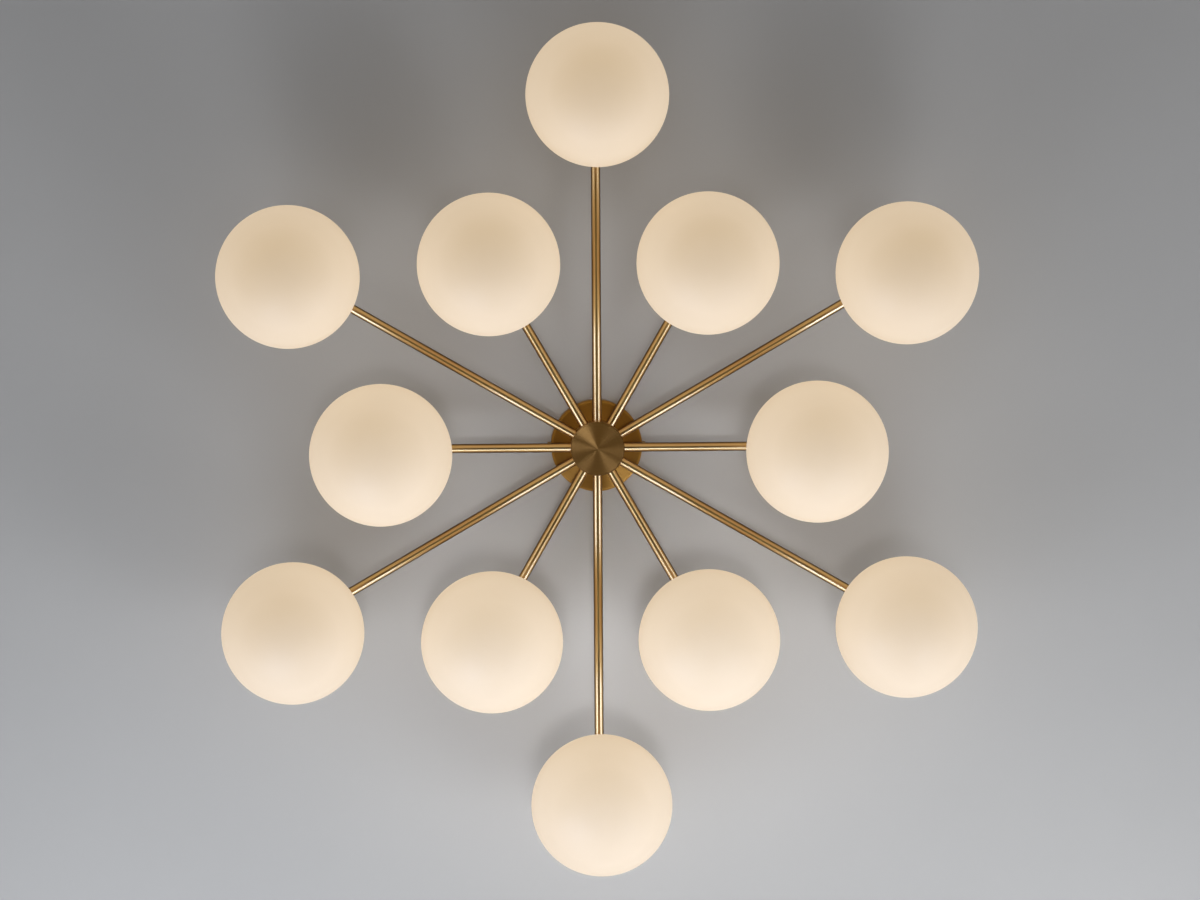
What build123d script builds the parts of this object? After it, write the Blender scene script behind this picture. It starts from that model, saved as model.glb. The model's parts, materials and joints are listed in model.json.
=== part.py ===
"""Flush ceiling chandelier: twelve tube arms, long and short in turn, each with an opal globe under its end.

The frame is the ceiling's: Z = 0 is the ceiling plane, +Z points up into it, and everything hangs below it.
Arm number 1 points along +X, and the rest follow anticlockwise as seen from above. Lengths are millimetres.
"""
import os
from math import asin, cos, pi, sin, sqrt, tan

from build123d import *

# Driving dimensions: the star of arms
ARM_COUNT = 12
LONG_REACH = 375.0          # hub axis to globe axis on the even arms
SHORT_REACH = 230.0         # the same on the odd arms
ARM_DIAMETER = 10.0         # lamp tube, threaded M10 x 1 at both ends
ARM_WALL = 1.0

# Driving dimensions: glass globe and its screw neck
GLOBE_DIAMETER = 150.0
GLASS_WALL = 2.5
NECK_DIAMETER = 44.0
NECK_WALL = 3.0
NECK_HEIGHT = 10.0          # from the sphere to the neck's rim

# Driving dimensions: hub
HUB_DIAMETER = 58.0
HUB_HEIGHT = 42.0
HUB_WALL = 6.0
HUB_ROOF = 4.0
HUB_EDGE_CHAMFER = 0.5      # on the drum's outer edges and on the cover's edge beside it
COVER_THICKNESS = 4.0
COVER_CHAMFER = 1.0
SPIGOT_DEPTH = 8.0
SPIGOT_WALL = 3.0

# Driving dimensions: canopy and the bracket inside it
CANOPY_DIAMETER = 100.0
CANOPY_DEPTH = 25.0
CANOPY_WALL = 1.5
CANOPY_EDGE_RADIUS = 3.0
BRACKET_THICKNESS = 2.0
BRACKET_WIDTH = 32.0
BEND_RADIUS = 3.0           # outside of the bends between strap and tabs
SLOT_SPACING = 60.0         # between the two ceiling screws
SLOT_LENGTH = 14.0
SLOT_WIDTH = 5.0
CABLE_HOLE_DIAMETER = 16.0
TAB_WIDTH = 16.0
TAB_MARGIN = 5.0            # tab below the axis of its screw
SHELF_WIDTH = 26.0          # side shelf that carries the mains terminal block
SHELF_SETBACK = 8.0         # shelf edge inside the round of the bracket

# Driving dimensions: side screws
SCREW_DIAMETER = 4.0
SCREW_HEAD_DIAMETER = 8.0
SCREW_HEAD_HEIGHT = 4.0
SCREW_DEPTH = 10.0          # below the ceiling
SCREW_TIP = 2.0             # past the inside of the tab

# Driving dimensions: fitter cup, gasket and cap nut
CUP_WALL = 2.0
CUP_ROOF = 2.0
CUP_EDGE_RADIUS = 2.0       # outer edge of the roof
CUP_RIM_RADIUS = 0.5
CUP_HEADROOM = 1.5          # arm's boss to the underside of the roof
BOSS_LENGTH = 4.0           # how far the arm's boss stands out of the cup
BOSS_WALL = 3.4
BOSS_EDGE_RADIUS = 0.8
GASKET_THICKNESS = 2.0
CAP_NUT_DIAMETER = 15.0
CAP_NUT_SKIRT = 4.0
CAP_NUT_DOME = 4.0
CAP_NUT_CHAMFER = 0.4

# Driving dimensions: threaded hardware
NUT_THICKNESS = 3.0
NUT_MARGIN = 2.0            # flat of the nut beyond the tube
NIPPLE_BORE = 8.0
THREAD_STAND_OUT = 1.5      # thread left standing past a nut

# Driving dimensions: lampholder and lamp
HOLDER_DIAMETER = 20.0
HOLDER_LENGTH = 24.0
HOLDER_CHAMFER = 1.0
HOLDER_THREAD_DEPTH = 8.0
PIN_PITCH = 9.0
PIN_DIAMETER = 1.2
PIN_LENGTH = 6.5
LAMP_BASE_DIAMETER = 16.0
LAMP_BASE_LENGTH = 14.0
LAMP_DIAMETER = 14.4
LAMP_LENGTH = 46.0          # without the pins

# Driving dimensions: wiring
WIRE_DIAMETER = 3.2
LEAD_DIAMETER = 4.0
WIRE_GRIP = 3.0             # length held inside a terminal
JUNCTION_DIAMETER = 28.0
JUNCTION_HEIGHT = 10.0
TERMINAL_LENGTH = 22.0
TERMINAL_WIDTH = 16.0
TERMINAL_HEIGHT = 11.0
TERMINAL_PORT = 3.6
LEAD_BEND_RADIUS = 6.5

# Clearances
THREAD_CLEARANCE = 0.05     # radial, in each metal thread drawn as a plain cylinder
ARM_END_GAP = 0.5           # between the inner ends of two neighbouring arms, half of it to each
GLASS_THREAD_CLEARANCE = 0.5
SPIGOT_CLEARANCE = 0.1
GASKET_CLEARANCE = 0.4
SHOULDER_GAP = 0.3          # gasket above the globe's shoulder
NECK_GAP = 0.5              # neck rim below the arm's boss
SEAT_GAP = 0.3              # curved wall to the corners of a flat nut
RIM_GAP = 0.3               # canopy rim below the ceiling plane
BRACKET_GAP = 0.8           # tab inside the canopy wall
SCREW_HOLE_CLEARANCE = 0.2
HEAD_GAP = 0.05
PIN_CLEARANCE = 0.2
LAMP_GAP = 0.2
WIRE_CLEARANCE = 0.15

# Radii worked out from the driving dimensions
arm_radius = ARM_DIAMETER / 2
thread_hole_radius = arm_radius + THREAD_CLEARANCE
globe_radius = GLOBE_DIAMETER / 2
neck_radius = NECK_DIAMETER / 2
neck_bore_radius = neck_radius - NECK_WALL
hub_radius = HUB_DIAMETER / 2
hub_bore_radius = hub_radius - HUB_WALL
arm_root = max(hub_bore_radius, (arm_radius + ARM_END_GAP / 2) / tan(pi / ARM_COUNT))
canopy_radius = CANOPY_DIAMETER / 2
canopy_bore_radius = canopy_radius - CANOPY_WALL
bracket_radius = canopy_bore_radius - BRACKET_GAP
tab_face = sqrt(bracket_radius**2 - (TAB_WIDTH / 2) ** 2)
shelf_edge = sqrt(bracket_radius**2 - (SHELF_WIDTH / 2) ** 2) - SHELF_SETBACK
cup_bore_radius = neck_radius + GLASS_THREAD_CLEARANCE
cup_radius = cup_bore_radius + CUP_WALL
boss_radius = thread_hole_radius + BOSS_WALL
nut_flats = ARM_DIAMETER + 2 * NUT_MARGIN
nut_corner_radius = nut_flats / 2 / cos(pi / 6)
nut_seat = sqrt(cup_bore_radius**2 - nut_corner_radius**2) - SEAT_GAP   # cup axis to the nut's flat seat
arm_tip = nut_seat - NUT_THICKNESS - THREAD_STAND_OUT                   # cup axis to the arm's outer end
holder_radius = HOLDER_DIAMETER / 2
junction_radius = JUNCTION_DIAMETER / 2

# Heights worked out from the driving dimensions
canopy_face_z = -CANOPY_DEPTH
canopy_ceiling_z = canopy_face_z + CANOPY_WALL
arm_z = canopy_face_z - HUB_HEIGHT / 2
hub_bottom_z = canopy_face_z - HUB_HEIGHT
hub_ceiling_z = canopy_face_z - HUB_ROOF
cup_ceiling_z = arm_z + boss_radius + CUP_HEADROOM
cup_top_z = cup_ceiling_z + CUP_ROOF
neck_rim_z = arm_z - boss_radius - NECK_GAP
shoulder_z = neck_rim_z - NECK_HEIGHT
globe_z = shoulder_z - sqrt(globe_radius**2 - neck_radius**2)
gasket_z = shoulder_z + SHOULDER_GAP
cup_rim_z = gasket_z + GASKET_THICKNESS
holder_bottom_z = cup_ceiling_z - HOLDER_LENGTH
lamp_top_z = holder_bottom_z - LAMP_GAP
junction_top_z = arm_z + JUNCTION_HEIGHT / 2
nipple_foot_z = junction_top_z - WIRE_GRIP
nipple_head_z = canopy_ceiling_z + NUT_THICKNESS + THREAD_STAND_OUT
terminal_z = -BRACKET_THICKNESS - TERMINAL_HEIGHT / 2
terminal_y = shelf_edge - TERMINAL_WIDTH / 2

LOW = (Align.CENTER, Align.CENTER, Align.MIN)
HIGH = (Align.CENTER, Align.CENTER, Align.MAX)


def arm_angle(number):
    """Azimuth of an arm in degrees, counted from +X."""
    return 360.0 / ARM_COUNT * (number - 1)


def reach(number):
    """Distance from the hub axis to the globe axis: odd arms are short, even arms are long."""
    return SHORT_REACH if number % 2 else LONG_REACH


def at_arm(number, shape):
    """A shape drawn about the origin, its +X pointing outwards, carried to the globe axis of an arm."""
    return Rot(0, 0, arm_angle(number)) * Pos(reach(number), 0, 0) * shape


def rod(radius, low, high):
    """A round bar on the Z axis between two heights."""
    return Pos(0, 0, low) * Cylinder(radius, high - low, align=LOW)


def spoke(radius, inner, outer):
    """A round bar along +X at the height of the arms, between two distances from the Z axis."""
    return Pos(inner, 0, arm_z) * Rot(0, 90, 0) * Cylinder(radius, outer - inner, align=LOW)


def turned(*edges):
    """A solid turned about the Z axis from a closed outline of edges in the XZ plane."""
    return revolve(Plane.XZ * make_face(edges), Axis.Z)


def hex_nut():
    """A lamp-thread nut on the Z axis, standing on Z = 0, with flats facing +X and -X."""
    blank = extrude(Rot(0, 0, 30) * RegularPolygon(nut_corner_radius, 6), NUT_THICKNESS)
    return blank - rod(thread_hole_radius, 0, NUT_THICKNESS)


def ceiling_bracket():
    """Pressed steel strap: two slots, a cable hole, a tab bent down at each end and a shelf at the side."""
    tab_depth = SCREW_DEPTH + TAB_MARGIN
    folded = Box(2 * tab_face, TAB_WIDTH, tab_depth, align=HIGH)
    folded = fillet(folded.edges().filter_by(Axis.Y).group_by(Axis.Z)[-1], BEND_RADIUS)
    inside = Box(2 * (tab_face - BRACKET_THICKNESS), TAB_WIDTH, tab_depth, align=HIGH)
    inside = fillet(inside.edges().filter_by(Axis.Y).group_by(Axis.Z)[-1], BEND_RADIUS - BRACKET_THICKNESS)
    strap = Box(2 * (tab_face - BEND_RADIUS), BRACKET_WIDTH, BRACKET_THICKNESS, align=HIGH)
    strap += Box(SHELF_WIDTH, shelf_edge, BRACKET_THICKNESS, align=(Align.CENTER, Align.MIN, Align.MAX))
    strap &= rod(bracket_radius, -BRACKET_THICKNESS, 0)
    strap += folded - Pos(0, 0, -BRACKET_THICKNESS) * inside
    slot = extrude(SlotOverall(SLOT_LENGTH, SLOT_WIDTH), -BRACKET_THICKNESS)
    for side in (-1, 1):
        strap -= Pos(side * SLOT_SPACING / 2, 0, 0) * slot
    strap -= rod(CABLE_HOLE_DIAMETER / 2, -BRACKET_THICKNESS, 0)
    bore = Cylinder(SCREW_DIAMETER / 2 + THREAD_CLEARANCE, 2 * tab_face)
    return strap - Pos(0, 0, -SCREW_DEPTH) * Rot(0, 90, 0) * bore


def canopy():
    """Spun brass dish, open at the ceiling, with a hole for the nipple and two for the side screws."""
    outer = rod(canopy_radius, canopy_face_z, -RIM_GAP)
    outer = fillet(outer.edges().group_by(Axis.Z)[0], CANOPY_EDGE_RADIUS)
    inner = rod(canopy_bore_radius, canopy_ceiling_z, 0)
    inner = fillet(inner.edges().group_by(Axis.Z)[0], CANOPY_EDGE_RADIUS - CANOPY_WALL)
    dish = outer - inner - rod(thread_hole_radius, canopy_face_z, canopy_ceiling_z)
    hole = Cylinder(SCREW_DIAMETER / 2 + SCREW_HOLE_CLEARANCE, CANOPY_DIAMETER)
    return dish - Pos(0, 0, -SCREW_DEPTH) * Rot(0, 90, 0) * hole


def side_screws():
    """Two round-headed screws that hold the canopy to the bracket's tabs."""
    seat = canopy_radius + HEAD_GAP
    shank_end = tab_face - BRACKET_THICKNESS - SCREW_TIP
    shank = Pos(0, 0, shank_end) * Cylinder(SCREW_DIAMETER / 2, seat - shank_end, align=LOW)
    head = Pos(0, 0, seat) * Cylinder(SCREW_HEAD_DIAMETER / 2, SCREW_HEAD_HEIGHT, align=LOW)
    head = fillet(head.edges().group_by(Axis.Z)[-1], SCREW_HEAD_HEIGHT / 4)
    screw = Pos(0, 0, -SCREW_DEPTH) * Rot(0, 90, 0) * (shank + head)
    return Compound(children=[Rot(0, 0, turn) * screw for turn in (0, 180)])


def hub_body():
    """Turned brass drum, open below, with a tapped hole for each arm and one in the roof for the nipple."""
    drum = rod(hub_radius, hub_bottom_z, canopy_face_z)
    drum = chamfer(drum.edges().filter_by(GeomType.CIRCLE), HUB_EDGE_CHAMFER)
    drum -= rod(hub_bore_radius, hub_bottom_z, hub_ceiling_z)
    drum -= rod(thread_hole_radius, hub_ceiling_z, canopy_face_z)
    for number in range(1, ARM_COUNT + 1):
        drum -= Rot(0, 0, arm_angle(number)) * spoke(thread_hole_radius, hub_bore_radius / 2, HUB_DIAMETER)
    return drum


def hub_cover():
    """Turned disc that closes the hub, with a threaded spigot that enters the drum."""
    disc = rod(hub_radius, hub_bottom_z - COVER_THICKNESS, hub_bottom_z)
    disc = chamfer(disc.edges().group_by(Axis.Z)[0], COVER_CHAMFER)
    disc = chamfer(disc.edges().group_by(Axis.Z)[-1], HUB_EDGE_CHAMFER)
    spigot_radius = hub_bore_radius - SPIGOT_CLEARANCE
    spigot = rod(spigot_radius, hub_bottom_z, hub_bottom_z + SPIGOT_DEPTH)
    spigot -= rod(spigot_radius - SPIGOT_WALL, hub_bottom_z, hub_bottom_z + SPIGOT_DEPTH)
    return disc + spigot


def arm(number):
    """Straight tube from the hub's tapped hole to the inside of its fitter cup."""
    outer_end = reach(number) - arm_tip
    tube = spoke(arm_radius, arm_root, outer_end) - spoke(arm_radius - ARM_WALL, arm_root, outer_end)
    return Rot(0, 0, arm_angle(number)) * tube


def fitter_cup():
    """Brass cup on the globe axis, open below for the globe's neck, with a boss for the arm at its side."""
    shell = rod(cup_radius, cup_rim_z, cup_top_z)
    shell = fillet(shell.edges().group_by(Axis.Z)[-1], CUP_EDGE_RADIUS)
    shell = fillet(shell.edges().group_by(Axis.Z)[0], CUP_RIM_RADIUS)
    boss = spoke(boss_radius, 0, cup_radius + BOSS_LENGTH)
    boss = Rot(0, 0, 180) * fillet(boss.edges().group_by(Axis.X)[-1], BOSS_EDGE_RADIUS)
    hollow = rod(cup_bore_radius, cup_rim_z, cup_ceiling_z)
    boss_width = 2 * boss_radius
    hub_side = Box(cup_radius, boss_width, boss_width, align=(Align.MAX, Align.CENTER, Align.CENTER))
    pad = boss & Pos(-nut_seat, 0, arm_z) * hub_side
    cup = (shell + boss) - hollow + (pad & rod(cup_radius, cup_rim_z, cup_ceiling_z))
    cup -= Rot(0, 0, 180) * spoke(thread_hole_radius, 0, cup_radius + 2 * BOSS_LENGTH)
    return cup - rod(thread_hole_radius, cup_ceiling_z, cup_top_z)


def cap_nut():
    """Domed brass nut that clamps the lampholder's nipple on top of a fitter cup."""
    radius = CAP_NUT_DIAMETER / 2
    shoulder = cup_top_z + CAP_NUT_SKIRT
    crown = shoulder + CAP_NUT_DOME
    dome_radius = (radius**2 + CAP_NUT_DOME**2) / (2 * CAP_NUT_DOME)
    half_angle = asin(radius / dome_radius) / 2
    mid = (dome_radius * sin(half_angle), crown - dome_radius * (1 - cos(half_angle)))
    blank = turned(
        Line((0, cup_top_z), (radius - CAP_NUT_CHAMFER, cup_top_z)),
        Line((radius - CAP_NUT_CHAMFER, cup_top_z), (radius, cup_top_z + CAP_NUT_CHAMFER)),
        Line((radius, cup_top_z + CAP_NUT_CHAMFER), (radius, shoulder)),
        ThreePointArc((radius, shoulder), mid, (0, crown)),
        Line((0, crown), (0, cup_top_z)),
    )
    return blank - rod(thread_hole_radius, cup_top_z, shoulder + THREAD_CLEARANCE)


def tube_nipple(low, high):
    """Threaded tube on the Z axis."""
    return rod(arm_radius, low, high) - rod(NIPPLE_BORE / 2, low, high)


def threaded_nipples():
    """The long nipple that carries the hub under the canopy, and a short one for each lampholder."""
    holder_nipple = tube_nipple(cup_ceiling_z - HOLDER_THREAD_DEPTH, cup_top_z + CAP_NUT_SKIRT)
    short = [at_arm(number, holder_nipple) for number in range(1, ARM_COUNT + 1)]
    return Compound(children=[tube_nipple(nipple_foot_z, nipple_head_z), *short])


def lock_nuts():
    """Hex nuts: one each side of the canopy and hub roof, and one inside each fitter cup."""
    nuts = [Pos(0, 0, canopy_ceiling_z) * hex_nut(), Pos(0, 0, hub_ceiling_z - NUT_THICKNESS) * hex_nut()]
    cup_nut = Pos(-nut_seat, 0, arm_z) * Rot(0, 90, 0) * hex_nut()
    nuts += [at_arm(number, cup_nut) for number in range(1, ARM_COUNT + 1)]
    return Compound(children=nuts)


def lampholder():
    """Ceramic two-pin lampholder with a threaded top, two pin holes below and a wire hole at the side."""
    body = rod(holder_radius, holder_bottom_z, cup_ceiling_z)
    body = chamfer(body.edges().group_by(Axis.Z)[0], HOLDER_CHAMFER)
    body -= rod(thread_hole_radius, cup_ceiling_z - HOLDER_THREAD_DEPTH, cup_ceiling_z)
    for side in (-1, 1):
        hole = rod(PIN_DIAMETER / 2 + PIN_CLEARANCE, holder_bottom_z, lamp_top_z + PIN_LENGTH + PIN_CLEARANCE)
        body -= Pos(0, side * PIN_PITCH / 2, 0) * hole
    wire_hole = spoke(WIRE_DIAMETER / 2 + WIRE_CLEARANCE, holder_radius - WIRE_GRIP, 2 * holder_radius)
    return body - Rot(0, 0, 180) * wire_hole


def lamp():
    """Two-pin capsule lamp: base, round-ended envelope and pins in one piece."""
    base_low = lamp_top_z - LAMP_BASE_LENGTH
    tip_radius = LAMP_DIAMETER / 2
    tip_z = lamp_top_z - LAMP_LENGTH + tip_radius
    body = rod(LAMP_BASE_DIAMETER / 2, base_low, lamp_top_z)
    body += rod(tip_radius, tip_z, base_low) + Pos(0, 0, tip_z) * Sphere(tip_radius)
    for side in (-1, 1):
        body += Pos(0, side * PIN_PITCH / 2, 0) * rod(PIN_DIAMETER / 2, lamp_top_z, lamp_top_z + PIN_LENGTH)
    return body


def globe():
    """Blown opal sphere with a short screw neck, open at the top."""
    bore_radius = globe_radius - GLASS_WALL
    inner_shoulder = globe_z + sqrt(bore_radius**2 - neck_bore_radius**2)
    return turned(
        ThreePointArc((0, globe_z - globe_radius), (globe_radius, globe_z), (neck_radius, shoulder_z)),
        Line((neck_radius, shoulder_z), (neck_radius, neck_rim_z)),
        Line((neck_radius, neck_rim_z), (neck_bore_radius, neck_rim_z)),
        Line((neck_bore_radius, neck_rim_z), (neck_bore_radius, inner_shoulder)),
        ThreePointArc((neck_bore_radius, inner_shoulder), (bore_radius, globe_z), (0, globe_z - bore_radius)),
        Line((0, globe_z - bore_radius), (0, globe_z - globe_radius)),
    )


def gasket():
    """Silicone ring round the neck, between the globe's shoulder and the rim of the cup."""
    return rod(cup_radius, gasket_z, cup_rim_z) - rod(neck_radius + GASKET_CLEARANCE, gasket_z, cup_rim_z)


def terminal_blocks():
    """The round junction in the hub that joins the arm wires, and the mains block under the shelf."""
    junction = rod(junction_radius, arm_z - JUNCTION_HEIGHT / 2, junction_top_z)
    junction -= rod(thread_hole_radius, nipple_foot_z, junction_top_z)
    lead_seat_z = nipple_foot_z - WIRE_GRIP
    junction -= rod(LEAD_DIAMETER / 2 + WIRE_CLEARANCE, lead_seat_z, nipple_foot_z)
    wire_hole = spoke(WIRE_DIAMETER / 2 + WIRE_CLEARANCE, junction_radius - WIRE_GRIP, JUNCTION_DIAMETER)
    for number in range(1, ARM_COUNT + 1):
        junction -= Rot(0, 0, arm_angle(number)) * wire_hole
    mains = Pos(0, terminal_y, terminal_z) * Box(TERMINAL_LENGTH, TERMINAL_WIDTH, TERMINAL_HEIGHT)
    lead_y = terminal_y - TERMINAL_WIDTH / 2
    lead_hole = Cylinder(LEAD_DIAMETER / 2 + WIRE_CLEARANCE, 2 * WIRE_GRIP)
    mains -= Pos(0, lead_y, terminal_z) * Rot(90, 0, 0) * lead_hole
    port = Box(TERMINAL_PORT, 2 * WIRE_GRIP, TERMINAL_PORT)
    for place in (-1, 0, 1):
        mains -= Pos(place * TERMINAL_LENGTH / 3, terminal_y + TERMINAL_WIDTH / 2, terminal_z) * port
    return Compound(children=[junction, mains])


def wiring():
    """One flex in each arm, from the junction to the lampholder, and the lead up to the mains block."""
    wires = []
    for number in range(1, ARM_COUNT + 1):
        inner = junction_radius - WIRE_GRIP
        outer = reach(number) - holder_radius + WIRE_GRIP
        wires.append(Rot(0, 0, arm_angle(number)) * spoke(WIRE_DIAMETER / 2, inner, outer))
    lead_end = terminal_y - TERMINAL_WIDTH / 2 + WIRE_GRIP
    foot = (0, 0, nipple_foot_z - WIRE_GRIP)
    route = FilletPolyline(foot, (0, 0, terminal_z), (0, lead_end, terminal_z), radius=LEAD_BEND_RADIUS)
    lead = sweep(Plane(foot) * Circle(LEAD_DIAMETER / 2), path=route)
    full_volume = pi * (LEAD_DIAMETER / 2) ** 2 * route.length
    print(f"lead: bend {LEAD_BEND_RADIUS} mm, volume over section x length {lead.volume / full_volume:.4f}")
    return Compound(children=[*wires, lead])


def repeated(shape):
    """A shape of the globe axis set at every arm."""
    return Compound(children=[at_arm(number, shape) for number in range(1, ARM_COUNT + 1)])


def all_parts():
    """Every node of the chandelier by name."""
    parts = {
        "ceiling_bracket": ceiling_bracket(),
        "canopy": canopy(),
        "canopy_side_screws": side_screws(),
        "hub_body": hub_body(),
        "hub_cover": hub_cover(),
        "threaded_nipples": threaded_nipples(),
        "lock_nuts": lock_nuts(),
        "fitter_cups": repeated(fitter_cup()),
        "cap_nuts": repeated(cap_nut()),
        "lampholders": repeated(lampholder()),
        "terminal_blocks": terminal_blocks(),
        "wiring": wiring(),
    }
    glass, ring, bulb = globe(), gasket(), lamp()
    for number in range(1, ARM_COUNT + 1):
        parts[f"arm_{number:02d}"] = arm(number)
        parts[f"globe_{number:02d}"] = at_arm(number, glass)
        parts[f"gasket_{number:02d}"] = at_arm(number, ring)
        parts[f"bulb_{number:02d}"] = at_arm(number, bulb)
    return parts


os.makedirs("parts", exist_ok=True)
for name, shape in all_parts().items():
    export_step(shape, f"parts/{name}.step")
print(f"globe centre {globe_z:.2f}, arm axis {arm_z:.2f}, lowest point {globe_z - globe_radius:.2f}")
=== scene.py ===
"""Looks of the flush ceiling chandelier: glass, brass, stage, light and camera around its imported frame."""
import json
from math import atan2, cos, pi, radians, sin, sqrt

import bmesh
import bpy
import numpy as np
from mathutils import Matrix, Vector


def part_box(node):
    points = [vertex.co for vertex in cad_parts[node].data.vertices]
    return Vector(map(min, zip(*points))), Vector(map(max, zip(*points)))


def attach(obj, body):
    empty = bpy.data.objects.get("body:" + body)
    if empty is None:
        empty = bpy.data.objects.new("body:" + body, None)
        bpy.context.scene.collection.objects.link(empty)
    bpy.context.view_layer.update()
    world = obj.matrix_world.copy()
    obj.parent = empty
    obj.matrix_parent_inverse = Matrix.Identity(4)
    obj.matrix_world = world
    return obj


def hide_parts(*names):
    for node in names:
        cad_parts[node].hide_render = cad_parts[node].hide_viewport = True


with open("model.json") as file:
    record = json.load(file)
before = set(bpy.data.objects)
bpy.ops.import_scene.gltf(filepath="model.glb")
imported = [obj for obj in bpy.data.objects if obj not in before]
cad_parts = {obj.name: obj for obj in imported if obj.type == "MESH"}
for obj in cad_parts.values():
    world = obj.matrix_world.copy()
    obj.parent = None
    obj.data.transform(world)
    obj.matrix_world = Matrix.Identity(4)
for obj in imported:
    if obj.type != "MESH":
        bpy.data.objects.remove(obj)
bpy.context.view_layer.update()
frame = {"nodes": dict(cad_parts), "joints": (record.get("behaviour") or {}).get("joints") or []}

# Sizes of the object, in metres
GLOBE_RADIUS = 0.075
GLASS_WALL = 0.0025
NECK_RADIUS = 0.022
NECK_WALL = 0.003
NECK_HEIGHT = 0.010
THREAD_PITCH = 0.004
THREAD_RIDGE = 0.0004
THREAD_RUN_OUT = 0.002
THREAD_TOP_GAP = 0.0015
ARM_RADIUS = 0.005
ARM_WALL = 0.001
ARM_EDGE = 0.0003
RING_DEPTH = 0.000009

# Steps of the worked-out surfaces, and the distances in metres under which their points are merged
ROUND_STEPS = 96
GLOBE_STEPS = 90
INSIDE_STEPS = 60
NECK_STEPS = 34
LIP_STEPS = 9
TUBE_STEPS = 48
ARM_RINGS = 24
EDGE_STEPS = 5
MERGE_GAP = 1e-7
SLIVER_GAP = 1e-8

# Finishes: each pair of tones is the darker and the lighter one. A noise field runs from 0 to 1
NOISE_MIDDLE = 0.5
GLASS_TONES = (0.263, 0.262, 0.268), (0.287, 0.287, 0.294)
TUBE_TONES = (0.42, 0.22, 0.034), (0.51, 0.285, 0.055)
TUBE_RINGS = (0.31, 0.155, 0.022)
TUBE_RIM_TINT = (0.12, 0.08, 0.05)
HUB_TONES = (0.130, 0.067, 0.018), (0.245, 0.132, 0.040)
HUB_CROWN = 0.15
CANOPY_TONES = (0.310, 0.156, 0.029), (0.480, 0.246, 0.053)
CUP_TONES = (0.50, 0.32, 0.135), (0.64, 0.44, 0.21)
CUP_LINES = (0.34, 0.21, 0.085)
ZINC_TONES = (0.55, 0.56, 0.57), (0.68, 0.69, 0.70)
CERAMIC_TONES = (0.80, 0.79, 0.75), (0.87, 0.86, 0.83)
NYLON_TONES = (0.78, 0.78, 0.76), (0.85, 0.85, 0.83)
SHEATH_TONES = (0.70, 0.70, 0.68), (0.78, 0.78, 0.76)
SILICONE_TONES = (0.74, 0.74, 0.72), (0.82, 0.82, 0.80)
LAMP_TONES = (0.90, 0.86, 0.78), (0.96, 0.93, 0.86)
LAMP_GLOW = (1.0, 0.78, 0.50), (1.0, 0.84, 0.60)
CEILING_TONES = (0.40, 0.40, 0.405), (0.44, 0.44, 0.445)
FLOOR_TONES = (0.71, 0.71, 0.71), (0.75, 0.75, 0.75)

# Glow of the glass: the share of the globe's height, and the light that it gives off there
GLASS_GLOW = (
    (0.0, (0.495, 0.352, 0.188)),
    (0.05, (0.53, 0.382, 0.212)),
    (0.143, (0.585, 0.435, 0.265)),
    (0.28, (0.605, 0.458, 0.29)),
    (0.5, (0.60, 0.455, 0.29)),
    (1.0, (0.52, 0.40, 0.265)),
)

# Stage, in metres, and the light of the room for the eye, for matt surfaces and for gloss
ROOM_HEIGHT = 3.1
CEILING_HALF = 3.5
FLOOR_HALF = 4.0
PATCH_HALF = 1.5
PATCH_SHIFT = 0.6
CANOPY_OPENING = 0.046
CEILING_GAP = 0.0005
BACKDROP = (0.62, 0.62, 0.63)
ROOM_TONES = (0.42, 0.425, 0.435), (0.68, 0.675, 0.67)
ROOM_MIDDLE, ROOM_ACROSS, ROOM_ALONG = 0.5, 0.3, 0.4
PATCH = (0.04, 0.027, 0.008)
GLOSS_CEILING = (0.18, 0.175, 0.17)
GLOSS_TONES = (0.88, 0.81, 0.60), (1.36, 1.42, 1.55)
GLOSS_MIDDLE, GLOSS_ACROSS = 0.42, 0.1

# Colours of the soft boxes, and what the colour of one made for gloss is multiplied by
WHITE, COOL, WARM = (0.97, 0.985, 1.0), (0.94, 0.98, 1.03), (1.0, 0.98, 0.95)
BLUE = (0.74, 0.96, 1.23)
GLOSS_TINT = (0.95, 1.12, 1.55)

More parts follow.
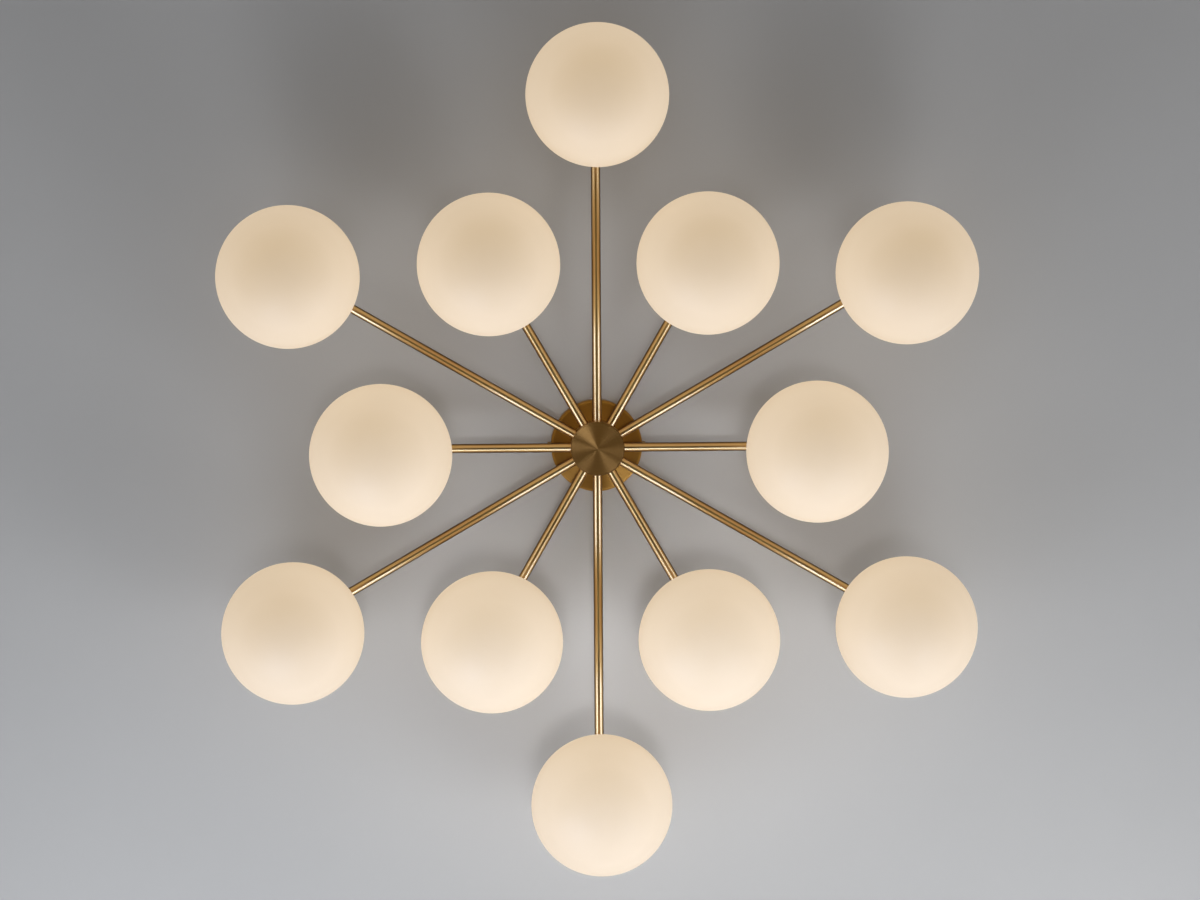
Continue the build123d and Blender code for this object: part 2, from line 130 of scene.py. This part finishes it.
# Soft boxes: name, place, aim and size in metres, watts for matt and for glossy surfaces, colour,
# the degrees that a grid spreads the light over, and the group of pieces that alone takes it, if any
HUB = (0.0, 0.0, 0.0)
SOFT_BOXES = (
    ("key_right", (0.62, 0.80, -0.74), HUB, (0.45, 0.36), 4.0, 1.8, WHITE, 180.0, None),
    ("key_left", (-0.58, 0.80, -0.72), HUB, (0.55, 0.55), 3.3, 4.7, COOL, 180.0, None),
    ("near_strip", (0.05, 1.15, -0.95), HUB, (2.0, 0.3), 3.2, 0.0, WHITE, 180.0, None),
    ("tube_strip", (0.05, 1.15, -0.95), HUB, (2.2, 0.6), 0.0, 34.0, BLUE, 180.0, "tubes"),
    ("tube_right", (1.10, 0.35, -0.95), HUB, (1.2, 0.5), 0.0, 9.0, BLUE, 180.0, "tubes"),
    ("tube_left", (-1.10, 0.35, -0.95), HUB, (1.2, 0.5), 0.0, 9.0, BLUE, 180.0, "tubes"),
    ("near_right", (1.40, 1.00, -0.85), HUB, (0.8, 0.4), 3.6, 0.0, WHITE, 180.0, None),
    ("near_left", (-1.40, 1.00, -0.85), HUB, (0.8, 0.4), 2.9, 0.0, COOL, 180.0, None),
    ("fill", (0.02, 0.30, -2.40), (0.02, 0.17, 0.0), (0.5, 0.5), 0.29, 0.0, WARM, 16.0, None),
    ("canopy_light", (0.55, 0.78, -1.40), HUB, (0.50, 0.25), 0.0, 6.2, WARM, 180.0, "canopy"),
    ("hub_light_far", (-0.61, -0.735, -1.40), HUB, (0.58, 0.25), 0.0, 11.0, WARM, 180.0, "hub"),
    ("hub_light_left", (-0.51, 0.81, -1.40), HUB, (0.40, 0.25), 0.0, 3.2, WARM, 180.0, "turned_faces"),
    ("hub_light_side", (-0.96, 0.0, -1.40), HUB, (0.40, 0.25), 0.0, 3.6, WARM, 180.0, "hub"),
)

# Camera: a 78 mm lens almost straight below the hub, as the photograph was taken
FRAME_WIDTH_PX = 1200
FOCAL_PX = 2600
SENSOR_MM = 36.0
CAMERA_AT = Vector((-0.0755, -0.2003, -2.8667))
CAMERA_TILT = Vector((radians(4.108), radians(-1.620), radians(-0.372)))

hinges = [joint for joint in frame["joints"] if joint["type"] == "hinge"]
globe_axes = {hinge["child"]: Vector(hinge["pos_m"]) for hinge in hinges}
arm_numbers = [name[-2:] for name in sorted(globe_axes)]


class Field:
    """A socket of a node tree. Sums of fields and numbers add the Math nodes that work them out."""

    def __init__(self, owner, socket):
        self.owner = owner
        self.socket = socket

    def _math(self, operation, first, second):
        return self.owner.node("ShaderNodeMath", {"operation": operation}, {0: first, 1: second})

    def __add__(self, other):
        return self._math("ADD", self, other)

    def __radd__(self, other):
        return self._math("ADD", other, self)

    def __sub__(self, other):
        return self._math("SUBTRACT", self, other)

    def __rsub__(self, other):
        return self._math("SUBTRACT", other, self)

    def __mul__(self, other):
        return self._math("MULTIPLY", self, other)

    def __rmul__(self, other):
        return self._math("MULTIPLY", other, self)

    def __pow__(self, other):
        return self._math("POWER", self, other)

    def __rpow__(self, other):
        return self._math("POWER", other, self)

    def __lt__(self, other):
        return self._math("LESS_THAN", self, other)

    def __gt__(self, other):
        return self._math("GREATER_THAN", self, other)


class Nodes:
    """A node tree under construction."""

    def __init__(self, tree):
        self.tree = tree

    def node(self, kind, settings=None, sockets=None, out=0):
        """Adds a node: its settings first, then the values or links of its sockets. Gives one output."""
        made = self.tree.nodes.new(kind)
        for key, value in (settings or {}).items():
            if key == "stops":
                self._stops(made.color_ramp, value)
            else:
                setattr(made, key, value)
        for key, value in (sockets or {}).items():
            self.feed(made.inputs[key], value)
        return Field(self, made.outputs[out])

    def _stops(self, ramp, stops):
        while len(ramp.elements) < len(stops):
            ramp.elements.new(1.0)
        for element, (place, colour) in zip(ramp.elements, stops):
            element.position = place
            element.color = (*colour, 1.0)

    def feed(self, socket, value):
        """Links a field to a socket, or sets the socket to a value."""
        if isinstance(value, Field):
            self.tree.links.new(value.socket, socket)
        elif isinstance(value, tuple) and len(value) == 3 and socket.type == "RGBA":
            socket.default_value = (*value, 1.0)
        else:
            socket.default_value = value

    def axes(self, vector):
        """The three numbers of a vector."""
        split = self.node("ShaderNodeSeparateXYZ", None, {0: vector}).socket.node
        return [Field(self, output) for output in split.outputs]

    def noise(self, scale, detail=2.0, roughness=0.5, vector=None, along=None):
        """A noise field from 0 to 1: over a vector, or along one number."""
        settings = {"noise_dimensions": "1D" if vector is None else "3D"}
        sockets = {"Scale": scale, "Detail": detail, "Roughness": roughness}
        sockets.update({"W": along} if vector is None else {"Vector": vector})
        return self.node("ShaderNodeTexNoise", settings, sockets)

    def stretched(self, vector, scale):
        """A vector with each axis multiplied by its own number."""
        return self.node("ShaderNodeVectorMath", {"operation": "MULTIPLY"}, {0: vector, 1: scale})

    def mix(self, factor, first, second):
        """A colour between two colours."""
        return self.node("ShaderNodeMix", {"data_type": "RGBA"}, {0: factor, 6: first, 7: second}, out=2)

    def ray(self, kind):
        """1 where the light path is of a kind, such as Is Camera Ray, and 0 elsewhere."""
        return self.node("ShaderNodeLightPath", out=kind)


class Finish(Nodes):
    """A material under construction: one principled shader and the nodes that feed it."""

    def __init__(self, name, **shader):
        self.material = bpy.data.materials.new(name)
        self.material.use_nodes = True
        super().__init__(self.material.node_tree)
        self.shader = self.tree.nodes["Principled BSDF"]
        for socket, value in shader.items():
            self.set(socket.replace("_", " ").title().replace("Ior", "IOR"), value)

    def set(self, socket, value):
        """Feeds a socket of the principled shader."""
        self.feed(self.shader.inputs[socket], value)

    def place(self):
        """Object coordinates, which are metres in the frame."""
        return self.node("ShaderNodeTexCoord", out="Object")

    def surface_map(self):
        """The piece's own UV map."""
        return self.node("ShaderNodeTexCoord", out="UV")

    def bump(self, height, distance, strength=1.0):
        """Feeds the shader's normal from a height field."""
        sockets = {"Height": height, "Distance": distance, "Strength": strength}
        self.set("Normal", self.node("ShaderNodeBump", None, sockets))

    def swap(self, factor, other):
        """Shows another shader in place of the principled one where the factor is 1."""
        paint = Field(self, self.shader.outputs[0])
        chosen = self.node("ShaderNodeMixShader", None, {0: factor, 1: paint, 2: other})
        self.feed(self.tree.nodes["Material Output"].inputs["Surface"], chosen)


def opal_glass():
    """Satin opal glass with a lamp near its neck: its glow is weakest at the bottom and grows upwards."""
    finish = Finish("opal_glass", ior=1.5, specular_ior_level=0.3, emission_strength=1.0)
    height = finish.axes(finish.surface_map())[1]
    cloud = finish.noise(scale=14.0, detail=3.0, roughness=0.55, vector=finish.place())
    satin = finish.noise(scale=90.0, detail=3.0, roughness=0.6, vector=finish.place())
    grain = finish.noise(scale=2600.0, vector=finish.place())
    level = height + (cloud - NOISE_MIDDLE) * 0.05
    finish.set("Emission Color", finish.node("ShaderNodeValToRGB", {"stops": GLASS_GLOW}, {0: level}))
    finish.set("Base Color", finish.mix(cloud, *GLASS_TONES))
    finish.set("Roughness", 0.46 + satin * 0.12)
    finish.bump(grain, distance=0.00002, strength=0.25)
    return finish.material


def tube_brass():
    """Satin brass tube, polished round and round, so that its gloss runs along it. The map's first number
    runs along the tube and the second round it, in metres."""
    finish = Finish("tube_brass", metallic=1.0, anisotropic=0.5, anisotropic_rotation=0.25,
                    specular_tint=TUBE_RIM_TINT, coat_weight=1.0, coat_roughness=0.24, coat_ior=1.9)
    fine = finish.stretched(finish.surface_map(), (5200.0, 90.0, 1.0))
    broad = finish.stretched(finish.surface_map(), (22.0, 160.0, 1.0))
    rounds = finish.noise(scale=1.0, detail=4.0, roughness=0.6, vector=fine)
    tarnish = finish.noise(scale=1.0, detail=3.0, roughness=0.6, vector=broad)
    colour = finish.mix(tarnish, *TUBE_TONES)
    finish.set("Base Color", finish.mix(rounds * 0.3, colour, TUBE_RINGS))
    uneven = (rounds - NOISE_MIDDLE) * 0.03 + (tarnish - NOISE_MIDDLE) * 0.02
    finish.set("Roughness", 0.3 + uneven)
    finish.bump(rounds, distance=0.00002, strength=0.015)
    return finish.material


def turned_brass(name, tones, groove, crown):
    """Brass turned on a lathe about the hub's axis: fine rings in colour, gloss and height, and a gloss
    along them. The groove is the rings per metre, and the crown is the slope at which the face falls off
    outwards."""
    finish = Finish(name, metallic=1.0, anisotropic=1.0, anisotropic_rotation=0.25)
    x, y, z = finish.axes(finish.place())
    radius = (x * x + y * y) ** 0.5
    rings = finish.noise(scale=1.0, detail=4.0, roughness=0.7, along=(radius + z) * groove)
    broad = finish.noise(scale=0.12, along=(radius + z) * groove)
    cloud = finish.noise(scale=40.0, detail=3.0, roughness=0.6, vector=finish.place())
    finish.set("Base Color", finish.mix(rings * 0.6 + broad * 0.25 + cloud * 0.15, *tones))
    uneven = (rings - NOISE_MIDDLE) * 0.16 + (cloud - NOISE_MIDDLE) * 0.08
    finish.set("Roughness", 0.42 + uneven)
    finish.bump(rings * RING_DEPTH - radius * crown, distance=1.0)
    return finish.material


def wound_brass():
    """Satin brass of the cups and hub side, brushed round them: fine lines of equal height."""
    finish = Finish("wound_brass", metallic=1.0)
    flat = finish.stretched(finish.place(), (30.0, 30.0, 7000.0))
    lines = finish.noise(scale=1.0, detail=4.0, roughness=0.65, vector=flat)
    cloud = finish.noise(scale=30.0, detail=3.0, roughness=0.6, vector=finish.place())
    colour = finish.mix(cloud, *CUP_TONES)
    finish.set("Base Color", finish.mix(lines * 0.35, colour, CUP_LINES))
    finish.set("Roughness", 0.27 + lines * 0.16)
    finish.bump(lines, distance=0.00003, strength=0.3)
    return finish.material


def speckled(name, tones, mottle, roughness, spread, grain, depth, metallic=0.0):
    """A plain finish with two mottled tones and a fine grain: ceramic, nylon, silicone, plating and the
    like. The mottle and grain are counts per metre, and the depth is the grain's, in metres."""
    finish = Finish(name, metallic=metallic)
    tone = finish.noise(mottle, detail=3.0, roughness=0.6, vector=finish.place())
    finish.set("Base Color", finish.mix(tone, *tones))
    finish.set("Roughness", roughness + (tone - NOISE_MIDDLE) * spread)
    finish.bump(finish.noise(grain, vector=finish.place()), depth, strength=0.4)
    return finish


def lamp_finish():
    """Frosted capsule lamp, lit."""
    finish = speckled("frosted_lamp", LAMP_TONES, mottle=120.0, roughness=0.45, spread=0.1,
                      grain=1800.0, depth=0.00002)
    tone = finish.noise(scale=60.0, vector=finish.place())
    finish.set("Emission Color", finish.mix(tone, *LAMP_GLOW))
    finish.set("Emission Strength", 2.0)
    return finish


def add_mesh(name, points, faces, uv, material):
    """A smooth-shaded mesh object of the scene, with one UV for each point of the grid it came from."""
    mesh = bpy.data.meshes.new(name)
    mesh.from_pydata(points.tolist(), [], faces.tolist())
    corner = np.empty(len(mesh.loops), np.int32)
    mesh.loops.foreach_get("vertex_index", corner)
    layer = mesh.uv_layers.new(name="surface")
    layer.data.foreach_set("uv", uv[corner].astype(np.float32).ravel())
    edit = bmesh.new()
    edit.from_mesh(mesh)
    bmesh.ops.remove_doubles(edit, verts=edit.verts, dist=MERGE_GAP)
    bmesh.ops.dissolve_degenerate(edit, dist=SLIVER_GAP, edges=edit.edges)
    bmesh.ops.recalc_face_normals(edit, faces=edit.faces)
    edit.to_mesh(mesh)
    edit.free()
    mesh.polygons.foreach_set("use_smooth", np.ones(len(mesh.polygons), bool))
    mesh.materials.append(material)
    piece = bpy.data.objects.new(name, mesh)
    bpy.context.scene.collection.objects.link(piece)
    return piece


def grid_faces(rows, columns, close_rows=False, close_columns=False):
    """Quads of a grid of points numbered row by row. A closed direction joins its last line to its
    first."""
    row = np.arange(rows if close_rows else rows - 1)[:, None]
    column = np.arange(columns if close_columns else columns - 1)[None, :]
    next_row, next_column = (row + 1) % rows, (column + 1) % columns
    corners = [row * columns + column, row * columns + next_column,
               next_row * columns + next_column, next_row * columns + column]
    return np.stack(corners, axis=-1).reshape(-1, 4)


def arc(centre, radius, start, end, steps):
    """Points of a circle's arc from one angle to another, in degrees."""
    angle = np.radians(np.linspace(start, end, steps))
    return np.stack([centre[0] + radius * np.cos(angle), centre[1] + radius * np.sin(angle)], axis=1)


def globe_glass(number, material):
    """Blown globe: a profile of outer sphere, neck, rolled rim, neck bore and inner sphere is carried once
    round the globe's axis, and on the neck the radius swells where height less pitch times turn is near a
    whole pitch. The map's numbers are the turn and the share of the globe's height."""
    centre = globe_axes[f"globe_{number}"]
    shoulder = sqrt(GLOBE_RADIUS**2 - NECK_RADIUS**2)
    rim = shoulder + NECK_HEIGHT
    inner_radius = GLOBE_RADIUS - GLASS_WALL
    bore = NECK_RADIUS - NECK_WALL
    top_angle = np.degrees(atan2(shoulder, NECK_RADIUS))
    inner_angle = np.degrees(atan2(sqrt(inner_radius**2 - bore**2), bore))
    roll = NECK_WALL / 2
    outer = arc((0, 0), GLOBE_RADIUS, -90, top_angle, GLOBE_STEPS)
    neck_heights = np.linspace(shoulder, rim - roll, NECK_STEPS)[1:-1]
    neck = np.stack([np.full_like(neck_heights, NECK_RADIUS), neck_heights], axis=1)
    lip = arc((NECK_RADIUS - roll, rim - roll), roll, 0, 180, LIP_STEPS)
    inner = arc((0, 0), inner_radius, inner_angle, -90, INSIDE_STEPS)
    profile = np.concatenate([outer, neck, lip, inner])
    turn = np.linspace(0, 1, ROUND_STEPS, endpoint=False)[:, None]
    radius = np.repeat(profile[None, :, 0], ROUND_STEPS, axis=0)
    height = np.repeat(profile[None, :, 1], ROUND_STEPS, axis=0)
    place = np.arange(len(profile))
    on_neck = (place >= len(outer)) & (place < len(outer) + len(neck))
    phase = (height - shoulder) / THREAD_PITCH - turn
    crest = np.clip(np.cos(2 * pi * phase), 0, 1) ** 2
    start = np.clip((height - shoulder) / THREAD_RUN_OUT, 0, 1)
    end = np.clip((rim - THREAD_TOP_GAP - height) / THREAD_RUN_OUT, 0, 1)
    radius = radius + on_neck * THREAD_RIDGE * crest * start * end
    angle = 2 * pi * turn
    points = np.stack([radius * np.cos(angle), radius * np.sin(angle), height], axis=-1) + np.array(centre)
    uv = np.stack([np.broadcast_to(turn, height.shape), (height / GLOBE_RADIUS + 1) / 2], axis=-1)
    faces = grid_faces(ROUND_STEPS, len(profile), close_rows=True)
    piece = add_mesh(f"glass_{number}", points.reshape(-1, 3), faces, uv.reshape(-1, 2), material)
    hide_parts(f"globe_{number}")
    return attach(piece, f"globe_{number}")


def arm_tube(number, material):
    """Tube arm: a section of outer wall, eased ends and bore is carried once round the arm's own axis,
    which is then turned to the arm's direction. The map's numbers are metres along the tube and round
    it."""
    low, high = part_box("arm_01")
    axis = globe_axes[f"globe_{number}"]
    root = low.x
    tip = axis.xy.length - (globe_axes["globe_01"].xy.length - high.x)
    bore = ARM_RADIUS - ARM_WALL
    ease = ARM_EDGE
    along = np.linspace(root + ease, tip - ease, ARM_RINGS)
    outer = np.stack([along, np.full_like(along, ARM_RADIUS)], axis=1)
    tip_edge = arc((tip - ease, ARM_RADIUS - ease), ease, 90, 0, EDGE_STEPS)[1:]
    root_edge = arc((root + ease, ARM_RADIUS - ease), ease, 180, 90, EDGE_STEPS)[:-1]
    inner = np.array([(tip, bore), (root, bore)])
    profile = np.concatenate([outer, tip_edge, inner, root_edge])
    turn = np.linspace(0, 1, TUBE_STEPS + 1)[:, None]
    angle = 2 * pi * turn
    reach = np.broadcast_to(profile[None, :, 0], (TUBE_STEPS + 1, len(profile)))
    side, up = profile[None, :, 1] * np.cos(angle), profile[None, :, 1] * np.sin(angle)
    heading = atan2(axis.y, axis.x)
    x = reach * cos(heading) - side * sin(heading)
    y = reach * sin(heading) + side * cos(heading)
    points = np.stack([x, y, (low.z + high.z) / 2 + up], axis=-1)
    uv = np.stack([reach, np.broadcast_to(angle * ARM_RADIUS, reach.shape)], axis=-1)
    faces = grid_faces(TUBE_STEPS + 1, len(profile), close_columns=True)
    piece = add_mesh(f"tube_{number}", points.reshape(-1, 3), faces, uv.reshape(-1, 2), material)
    piece.data.use_auto_texspace = False
    piece.data.texspace_location = (0.0, 0.0, 0.0)
    piece.data.texspace_size = (1.0, 1.0, 1.0)
    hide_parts(f"arm_{number}")
    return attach(piece, "fixture")


def dress_cad(material, *nodes):
    """Gives CAD nodes that keep their own mesh a finish."""
    for node in nodes:
        mesh = frame["nodes"][node].data
        mesh.materials.clear()
        mesh.materials.append(material)


def plane(name, half, height, faces_up, material):
    """A square stage sheet about the hub's axis, its face up or down."""
    corners = [(-half, -half, height), (half, -half, height), (half, half, height), (-half, half, height)]
    mesh = bpy.data.meshes.new(name)
    mesh.from_pydata(corners, [], [(0, 1, 2, 3) if faces_up else (3, 2, 1, 0)])
    mesh.materials.append(material)
    sheet = bpy.data.objects.new(name, mesh)
    bpy.context.scene.collection.objects.link(sheet)


def light_group(name, pieces):
    """A named group of pieces that some soft boxes light alone."""
    group = bpy.data.collections.new(name)
    for piece in pieces:
        group.objects.link(piece)


def soft_box(name, at, aim, size, matt_power, gloss_power, colour, spread, group):
    """A rectangular area light, made once for matt surfaces and once, a little cooler, for glossy ones. One
    with a group lights only the pieces of that group."""
    cooler = tuple(np.multiply(colour, GLOSS_TINT))
    for shown_by, power, shade in (("matt", matt_power, colour), ("gloss", gloss_power, cooler)):
        if not power:
            continue
        light = bpy.data.lights.new(f"{name}_{shown_by}", "AREA")
        light.shape = "RECTANGLE"
        light.size, light.size_y = size
        light.energy = power
        light.color = shade
        light.spread = radians(spread)
        lamp = bpy.data.objects.new(f"{name}_{shown_by}", light)
        lamp.location = at
        lamp.visible_camera = False
        lamp.visible_diffuse = shown_by == "matt"
        lamp.visible_glossy = shown_by == "gloss"
        lamp.rotation_euler = (Vector(aim) - Vector(at)).to_track_quat("-Z", "Y").to_euler()
        if group:
            lamp.light_linking.receiver_collection = bpy.data.collections[group]
        bpy.context.scene.collection.objects.link(lamp)


def ceiling_paint():
    """Matt grey paint with a faint mottle, seen from below only: from above it lets the eye through, and
    the canopy covers an opening in it. Gloss sees it darker."""
    finish = Finish("ceiling_paint")
    mottle = finish.noise(scale=3.0, detail=4.0, roughness=0.6, vector=finish.place())
    seen = finish.mix(mottle, *CEILING_TONES)
    finish.set("Base Color", finish.mix(finish.ray("Is Glossy Ray"), seen, GLOSS_CEILING))
    finish.set("Roughness", 0.85 + mottle * 0.1)
    above = finish.node("ShaderNodeNewGeometry", out="Backfacing")
    x, y, _ = finish.axes(finish.place())
    opening = x * x + y * y < CANOPY_OPENING**2
    finish.swap(above + opening, finish.node("ShaderNodeBsdfTransparent"))
    return finish.material


def gloss_room(nodes, direction):
    """What gloss shows of the room in a direction: a bright surround, brightest beyond the nearer end."""
    across, along, _ = nodes.axes(direction)
    return nodes.mix(GLOSS_MIDDLE + across * GLOSS_ACROSS + along, *GLOSS_TONES)


def floor_paint():
    """Pale floor. The eye sees the backdrop's even tone, gloss sees the room with a dark patch straight
    below, and matt surfaces see matt paint."""
    finish = Finish("floor_paint")
    mottle = finish.noise(scale=2.0, detail=3.0, roughness=0.6, vector=finish.place())
    finish.set("Base Color", finish.mix(mottle, *FLOOR_TONES))
    finish.set("Roughness", 0.7 + mottle * 0.2)
    x, y, _ = finish.axes(finish.place())
    patch = (x * x < PATCH_HALF**2) * ((y - PATCH_SHIFT) ** 2 < PATCH_HALF**2)
    direction = finish.node("ShaderNodeVectorMath", {"operation": "NORMALIZE"}, {0: finish.place()})
    shown = finish.mix(patch, gloss_room(finish, direction), PATCH)
    seen = finish.ray("Is Camera Ray")
    tone = finish.node("ShaderNodeEmission", None, {"Color": finish.mix(seen, shown, BACKDROP)})
    finish.swap(seen + finish.ray("Is Glossy Ray"), tone)
    return finish.material


def studio_world():
    """An even pale backdrop for the eye, a bright surround below the ceiling for gloss, and a softer one
    for matt surfaces."""
    world = bpy.data.worlds.new("studio")
    world.use_nodes = True
    room = Nodes(world.node_tree)
    direction = room.node("ShaderNodeTexCoord", out="Generated")
    across, along, up = room.axes(direction)
    light = room.mix(ROOM_MIDDLE + across * ROOM_ACROSS + along * ROOM_ALONG, *ROOM_TONES)
    gloss = room.mix(up > 0.0, gloss_room(room, direction), BACKDROP)
    light = room.mix(room.ray("Is Glossy Ray"), light, gloss)
    shown = room.mix(room.ray("Is Camera Ray"), light, BACKDROP)
    room.feed(world.node_tree.nodes["Background"].inputs["Color"], shown)
    bpy.context.scene.world = world


def build_stage():
    """Ceiling, floor, soft boxes and backdrop."""
    plane("ceiling", CEILING_HALF, CEILING_GAP, False, ceiling_paint())
    plane("floor", FLOOR_HALF, -ROOM_HEIGHT, True, floor_paint())
    for box in SOFT_BOXES:
        soft_box(*box)
    studio_world()
    bpy.context.scene.view_settings.view_transform = "Standard"


def add_camera():
    """Camera with the photograph's viewpoint: its right, down and forward axes are the rows of a tilt about
    X, Y and Z."""
    camera = bpy.data.cameras.new("camera")
    camera.sensor_fit = "HORIZONTAL"
    camera.sensor_width = SENSOR_MM
    camera.lens = FOCAL_PX / FRAME_WIDTH_PX * SENSOR_MM
    tilt = Matrix.Identity(3)
    for amount, axis in zip(CAMERA_TILT, "XYZ"):
        tilt = tilt @ Matrix.Rotation(amount, 3, axis)
    turned = tilt.transposed() @ Matrix.Diagonal((1, -1, -1))
    eye = bpy.data.objects.new("camera", camera)
    eye.matrix_world = Matrix.Translation(CAMERA_AT) @ turned.to_4x4()
    bpy.context.scene.collection.objects.link(eye)
    bpy.context.scene.camera = eye


glass = opal_glass()
tube = tube_brass()
tubes = []
for number in arm_numbers:
    globe_glass(number, glass)
    tubes.append(arm_tube(number, tube))

hub_face = turned_brass("hub_face", HUB_TONES, groove=4000.0, crown=HUB_CROWN)
canopy_face = turned_brass("canopy_face", CANOPY_TONES, groove=3000.0, crown=0.0)
zinc = speckled("zinc", ZINC_TONES, mottle=160.0, roughness=0.38, spread=0.2,
                grain=900.0, depth=0.00003, metallic=1.0)
ceramic = speckled("ceramic", CERAMIC_TONES, mottle=70.0, roughness=0.28, spread=0.12,
                   grain=500.0, depth=0.00003)
nylon = speckled("nylon", NYLON_TONES, mottle=90.0, roughness=0.48, spread=0.12,
                 grain=1200.0, depth=0.00003)
sheath = speckled("sheath", SHEATH_TONES, mottle=120.0, roughness=0.5, spread=0.12,
                  grain=1500.0, depth=0.00002)
silicone = speckled("silicone", SILICONE_TONES, mottle=150.0, roughness=0.55, spread=0.1,
                    grain=1500.0, depth=0.00003)
dress_cad(wound_brass(), "hub_body", "fitter_cups", "cap_nuts", "canopy_side_screws")
dress_cad(hub_face, "hub_cover")
dress_cad(canopy_face, "canopy")
dress_cad(zinc.material, "ceiling_bracket", "threaded_nipples", "lock_nuts")
dress_cad(ceramic.material, "lampholders")
dress_cad(nylon.material, "terminal_blocks")
dress_cad(sheath.material, "wiring")
dress_cad(silicone.material, *[f"gasket_{number}" for number in arm_numbers])
dress_cad(lamp_finish().material, *[f"bulb_{number}" for number in arm_numbers])

hub_cover, canopy = frame["nodes"]["hub_cover"], frame["nodes"]["canopy"]
light_group("hub", [hub_cover])
light_group("canopy", [canopy])
light_group("turned_faces", [hub_cover, canopy])
light_group("tubes", tubes)
build_stage()
add_camera()
